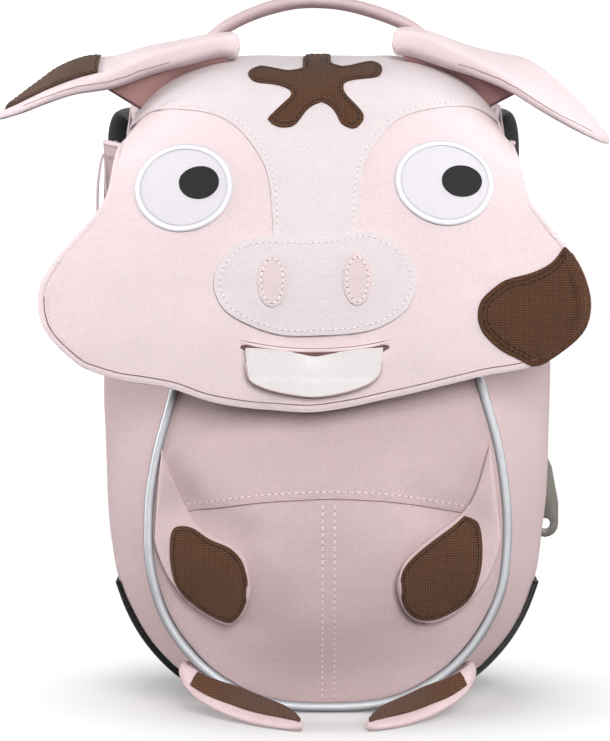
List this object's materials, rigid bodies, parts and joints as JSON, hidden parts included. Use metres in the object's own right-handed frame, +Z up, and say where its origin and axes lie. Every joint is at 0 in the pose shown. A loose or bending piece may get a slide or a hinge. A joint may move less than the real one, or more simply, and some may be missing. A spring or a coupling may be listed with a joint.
{
  "type": "child's animal backpack",
  "caption": "Small child's backpack in the shape of a pig: the head is the flap over a tapered body, with floppy ears, arms and feet, padded back and shoulder straps.",
  "frame": {"origin": "on the flat underside of the dark base panel, on the middle line of the body, where the bag stands on the floor", "axes": "+Z is up, the face and the front of the bag look along -Y, the back panel and the shoulder straps are at +Y, and +X is to the right in the picture"},
  "size_m": [0.2746, 0.2125, 0.3191],
  "materials": {
    "pink_canvas": "coarse woven canvas",
    "pale_canvas": "coarse woven canvas",
    "brown_canvas": "coarse woven canvas",
    "white_canvas": "fine woven cloth",
    "black_canvas": "fine woven cloth",
    "inner_pink": "coarse woven canvas",
    "grey_canvas": "padded canvas",
    "grey_webbing": "woven webbing",
    "grey_plastic": "moulded",
    "reflective_piping": "reflective piping",
    "pink_cord": "braided cord"
  },
  "bodies": {
    "root": {"gusset_left": "pink_canvas", "gusset_bottom": "pink_canvas", "gusset_right": "pink_canvas", "base_panel": "grey_canvas", "piping": "reflective_piping", "front_panel": "pink_canvas", "front_pocket": "pink_canvas", "back_panel": "grey_canvas", "flap": "pink_canvas", "forehead_panel": "pale_canvas", "eye_left": "white_canvas", "pupil_left": "black_canvas", "eye_right": "white_canvas", "pupil_right": "black_canvas", "snout": "pale_canvas", "nostril_left": "inner_pink", "nostril_right": "inner_pink", "mouth_lip": "pink_canvas", "tongue": "white_canvas", "forehead_tuft": "brown_canvas", "cheek_patch": "brown_canvas", "ear_left": "pink_canvas", "ear_fold_left": "pink_canvas", "ear_right": "pink_canvas", "ear_fold_right": "pink_canvas", "ear_patch": "brown_canvas", "arm_left": "pink_canvas", "arm_patch_left": "brown_canvas", "arm_right": "pink_canvas", "arm_patch_right": "brown_canvas", "foot_left": "pink_canvas", "foot_patch_left": "brown_canvas", "foot_right": "pink_canvas", "foot_patch_right": "brown_canvas", "carry_handle": "pink_canvas", "shoulder_strap_left": "grey_canvas", "adjuster_left": "grey_plastic", "webbing_left": "grey_webbing", "shoulder_strap_right": "grey_canvas", "adjuster_right": "grey_plastic", "webbing_right": "grey_webbing", "flap_closure": "black_canvas", "drawcord": "pink_cord"}
  },
  "joints": []
}
